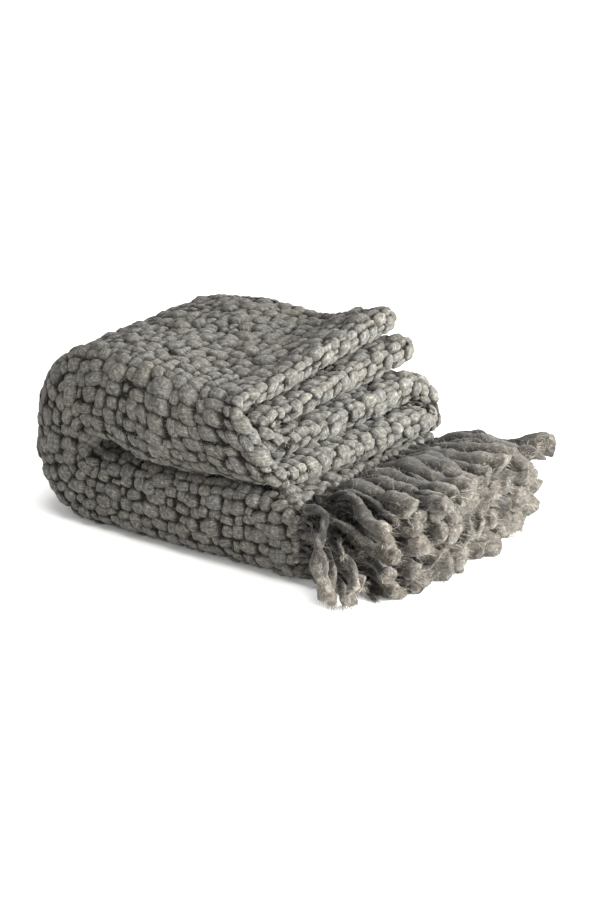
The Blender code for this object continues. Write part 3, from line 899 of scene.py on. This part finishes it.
def growLock(centre, share, sway, fromMiddle, numbers, size):
    # the rings of one lock, with places on its yarn, its tone with painted shade and light, and its torn tip
    rootY, rootZ = rootPoints(centre, fromMiddle)
    share *= mix(fringe["lowRow"], 1.0, rootZ / stripHeight) * mix(1, 0.93, smooth((rootY - back + 0.06) / 0.05))
    along = lockStops
    flowShare = mix(-lock["rootIn"], share, along)
    distance = centre + sway * np.sin(math.pi * along)
    middle = fringeFlow(*rootPoints(distance, fromMiddle), flowShare)
    across = fringeFlow(*rootPoints(distance + 0.001, fromMiddle), flowShare) - middle
    ahead, across, outward = lockWays(middle, across, along)
    phases = numbers.uniform(0, 2 * math.pi, 8)
    wave = lock["wave"] * smooth(along / 0.4)
    middle = middle + across * (wave * np.sin(2 * math.pi * along * 1.1 + phases[0]))[:, None]
    middle = middle + outward * (0.6 * wave * np.sin(2 * math.pi * along * 1.4 + phases[1]))[:, None]
    ahead, across, outward = lockWays(middle, across, along)
    hangs = float(smooth(1 - (rootY - wallY) / lock["hangReach"]))
    opened = smooth((along - 0.05 - 0.42 * hangs) / mix(numbers.uniform(*lock["opens"]), lock["frontOpens"], hangs))
    size *= numbers.uniform(mix(0.80, 0.55, hangs), 1.18) * mix(1, lock["frontSize"], hangs)
    lumps = 1 + lock["lumps"] * (np.sin(along * 13 + phases[2]) + 0.8 * np.sin(along * 29 + phases[3]))
    cap = np.sqrt(1 - ((along - 1) / lock["endShare"] + 1).clip(0, 1) ** 2 * 0.999)
    root = lock["rootRadius"] * min(1, size * 1.5)
    width = mix(root, lock["width"] / 2 * size, opened) * lumps * cap
    thick = mix(root, lock["thick"] / 2 * size, opened) * lumps * cap
    turn = np.arange(lock["sides"]) / lock["sides"] * 2 * math.pi
    rate = mix(*lock["twist"], opened)
    spin = phases[4] + np.concatenate([[0], np.cumsum(np.diff(along) * (rate[1:] + rate[:-1]) / 2)])
    plies = mix(*lock["plies"], opened)
    ripples = np.sin(3 * turn + along[:, None] * 17 + phases[5]) + np.sin(5 * turn - along[:, None] * 29 + phases[6])
    rough = lock["ripples"] * opened[:, None] * ripples
    radius = 1 + plies[:, None] * np.cos(2 * turn[None] + spin[:, None]) + rough
    felt = numbers.normal(0, lock["felt"], radius.shape) * opened[:, None]
    points = (middle[:, None] + across[:, None] * ((width[:, None] * radius + felt) * np.cos(turn))[..., None]
              + outward[:, None] * ((thick[:, None] * radius + felt) * np.sin(turn))[..., None])
    slanted = numbers.normal(0, lock["slant"]) * np.cos(turn[None] + phases[7])
    points = points + ahead[:, None] * (slanted * (width * smooth((along - 0.8) / 0.2))[:, None])[..., None]
    radial = unitRows(points - middle[:, None])
    clumps = cloudNoise(points, lock["clumpSizes"][0]) + 0.5 * cloudNoise(points, lock["clumpSizes"][1])
    points = points + radial * (lock["clumps"] * clumps * (opened * cap)[:, None])[..., None]
    points[..., 2] -= np.minimum(points[..., 2].min(1) - 0.0005, 0)[:, None]
    around = np.arange(lock["sides"] + 1) / lock["sides"] * 0.6 + spin[:, None] * 0.02
    yarn = np.stack(np.broadcast_arrays(around, pathLength(middle)[:, None] * 10), -1) + numbers.uniform(0, 20, 2)
    # random brightness, with painted light on the hanging locks
    shade = numbers.normal(mix(1.0, lock["hangShade"], hangs), lock["uneven"])
    shade = shade + numbers.normal(0, weave["warmth"]) * np.array([1, 0, -1.4])
    # painted shade in the twist's grooves and down the sides between locks, less of it near the tips
    grooveShade = 1 - 1.1 * plies[:, None] * (1 - np.cos(2 * turn[None] + spin[:, None]))
    beside = smooth((abs(np.cos(turn)) - 0.30) / 0.5) * (1 - 0.55 * smooth((along - 0.66) / 0.3))[:, None]
    light = mix(*lock["shades"], smooth((along - 0.55) / 0.45))[:, None] * grooveShade * mix(1.0, lock["between"], beside)
    tone = shade * light[..., None] * np.ones(points.shape)
    wisps = growWisps(middle, across, outward, ahead, width[lock["rings"] - 3], numbers)
    return points, yarn, tone, wisps


def growFringe(name, node, column, fromMiddle):
    numbers = np.random.default_rng(fringe["seed"] + column)
    grown = [growLock(*row, fromMiddle, numbers, 1.0) for row in fringeLocks(column)]
    for centre, share, sway in fringeLocks(column):
        if numbers.uniform() < lock["thinShare"] or rootPoints(centre, fromMiddle)[0] < wallY + 0.012:
            aside = numbers.uniform(*lock["thinAside"]) * numbers.choice((-1, 1))
            share *= numbers.uniform(*lock["thinReach"])
            grown.append(growLock(centre + aside, share, -sway, fromMiddle * 1.15, numbers, lock["thinSize"]))
    points, yarn, tone, wisps = (np.array(values) for values in zip(*grown))
    makeRibbons(name + "Wisps", wisps.reshape(-1, 7, 3), lockHair)
    count, rings, sides = points.shape[:3]
    index = np.arange(rings * sides).reshape(rings, sides)
    beside = np.roll(index, -1, 1)
    tube = np.stack([index[:-1], beside[:-1], beside[1:], index[1:]], -1).reshape(-1, 4)
    first = np.arange(count)[:, None, None] * index.size
    caps = np.stack([index[0, ::-1], index[-1]])
    faces = [(tube[None] + first).reshape(-1, 4), (caps[None] + first).reshape(-1, sides)]
    # the yarn map goes on past the seam instead of running back on itself
    tubeYarn = np.stack([yarn[:, :-1, :-1], yarn[:, :-1, 1:], yarn[:, 1:, 1:], yarn[:, 1:, :-1]], -2).reshape(-1, 2)
    capYarn = np.stack([yarn[:, 0, :-1], yarn[:, -1, :-1]], 1).reshape(-1, 2)
    piece = makePiece(name, points.reshape(-1, 3), faces, lockWool,
                      np.concatenate([tubeYarn, capYarn]), tone.reshape(-1, 3))
    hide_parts(node)
    print("stage:", name, count, "locks,", len(faces[0]) * 2, "triangles")
    return piece


locksOuter = growFringe("locksOuter", "fringe_outer", 1, halfPitch)
locksInner = growFringe("locksInner", "fringe_inner", 2, -halfPitch)


def growHairs(source, material, look):
    # hairs on one piece, more of them where its faces are larger
    numbers = np.random.default_rng(look["seed"])
    count, total = round(look["count"] * look["more"].get(source.name, 1)), len(source.data.polygons)
    areas, centres, normals = np.empty(total), np.empty(total * 3), np.empty(total * 3)
    for key, values in (("area", areas), ("center", centres), ("normal", normals)):
        source.data.polygons.foreach_get(key, values)
    chosen = numbers.choice(total, count, p=areas / areas.sum())
    normal = normals.reshape(-1, 3)[chosen]
    place = centres.reshape(-1, 3)[chosen]
    lying = unitRows(np.cross(normal, numbers.normal(0, 1, (count, 3))))
    place = place + lying * (numbers.uniform(-0.5, 0.5, (count, 1)) * np.sqrt(areas[chosen])[:, None])
    lift = numbers.uniform(*look["lift"], (count, 1))
    ahead = unitRows(lying + normal * lift)
    bend = unitRows(numbers.normal(0, 1, (count, 3))) * look["curl"] - normal * lift * 0.5
    side = unitRows(np.cross(ahead, normal + 0.01)) * (look["width"] / 2 * numbers.uniform(0.6, 1.2, (count, 1)))
    length = look["length"] * numbers.uniform(0.4, 1.3, (count, 1))
    rows = []
    for share in look["bends"]:
        spine = place - normal * 0.0005 + (ahead * share + bend * share * share) * length
        rows += [spine - side * (1 - share * 0.6), spine + side * (1 - share * 0.6)]
    rows.append(place + (ahead + bend) * length)
    points = np.stack(rows, 1)
    points[..., 2] = np.maximum(points[..., 2], 0.0005)
    return makeRibbons("fuzz" + source.name[0].upper() + source.name[1:], points, material)


fuzz = [growHairs(piece, clothHair, hairs["cloth"]) for piece in floats]
for piece in (locksOuter, locksInner):
    growHairs(piece, lockHair, hairs["fringe"])

# Floor, light and camera
studio = {
    "floor": "#f6f5f3",
    "world": 0.78,
    "topStrength": 2.15,
    "topSoftness": 34,  # degrees
    "topFrom": (0.08, -0.06, 1.0),
    "keyPower": 96.0,  # watts
    "keySize": 0.7,
    "keyPlace": (1.40, 0.10, 0.58),
    "fillPower": 15.0,
    "fillSize": 1.0,
    "fillPlace": (0.9, -1.6, 0.42),
    "lampColour": (0.965, 0.995, 0.985),
    "lampAim": (0.1, 0, 0.12),
    "aim": (0.085, 0.044, 0.089),  # the photo's view, fitted over the solids
    "azimuth": 34.1,
    "elevation": 21.8,
    "distance": 3.5,
    "lens": 105.3,
}


def makeStudio():
    bpy.ops.object.select_all(action="DESELECT")
    bpy.ops.mesh.primitive_plane_add(size=14)
    floor = bpy.context.object
    floor.name = "paleFloor"
    card = {"Base Color": hexColour(studio["floor"]), "Roughness": 0.9, "Specular IOR Level": 0.1}
    floor.data.materials.append(newMaterial("pale card", card)[0])
    world = bpy.data.worlds.new("softRoom")
    scene.world = world
    world.use_nodes = True
    sky = world.node_tree.nodes["Background"].inputs
    sky["Color"].default_value = (1, 1, 1, 1)
    sky["Strength"].default_value = studio["world"]
    top = bpy.data.lights.new("topLight", "SUN")
    top.energy, top.angle = studio["topStrength"], math.radians(studio["topSoftness"])
    lamps = [(top, (0, 0, 2), Vector(studio["topFrom"]))]
    for name in ("key", "fill"):
        soft = bpy.data.lights.new(name + "Light", "AREA")
        soft.energy, soft.size = studio[name + "Power"], studio[name + "Size"]
        soft.color = studio["lampColour"]
        lamps.append((soft, studio[name + "Place"], Vector(studio[name + "Place"]) - Vector(studio["lampAim"])))
    for light, place, away in lamps:
        lamp = bpy.data.objects.new(light.name, light)
        scene.collection.objects.link(lamp)
        lamp.location = place
        lamp.rotation_euler = away.to_track_quat("Z", "Y").to_euler()
    azimuth, elevation = math.radians(studio["azimuth"]), math.radians(studio["elevation"])
    level = math.cos(elevation)
    away = Vector((math.sin(azimuth) * level, -math.cos(azimuth) * level, math.sin(elevation)))
    camera = bpy.data.objects.new("photoView", bpy.data.cameras.new("photoView"))
    scene.collection.objects.link(camera)
    camera.location = Vector(studio["aim"]) + away * studio["distance"]
    camera.rotation_euler = (-away).to_track_quat("-Z", "Y").to_euler()
    camera.data.lens = studio["lens"]
    scene.camera = camera
    scene.view_settings.view_transform = "Standard"


makeStudio()
print("stage: studio ready")
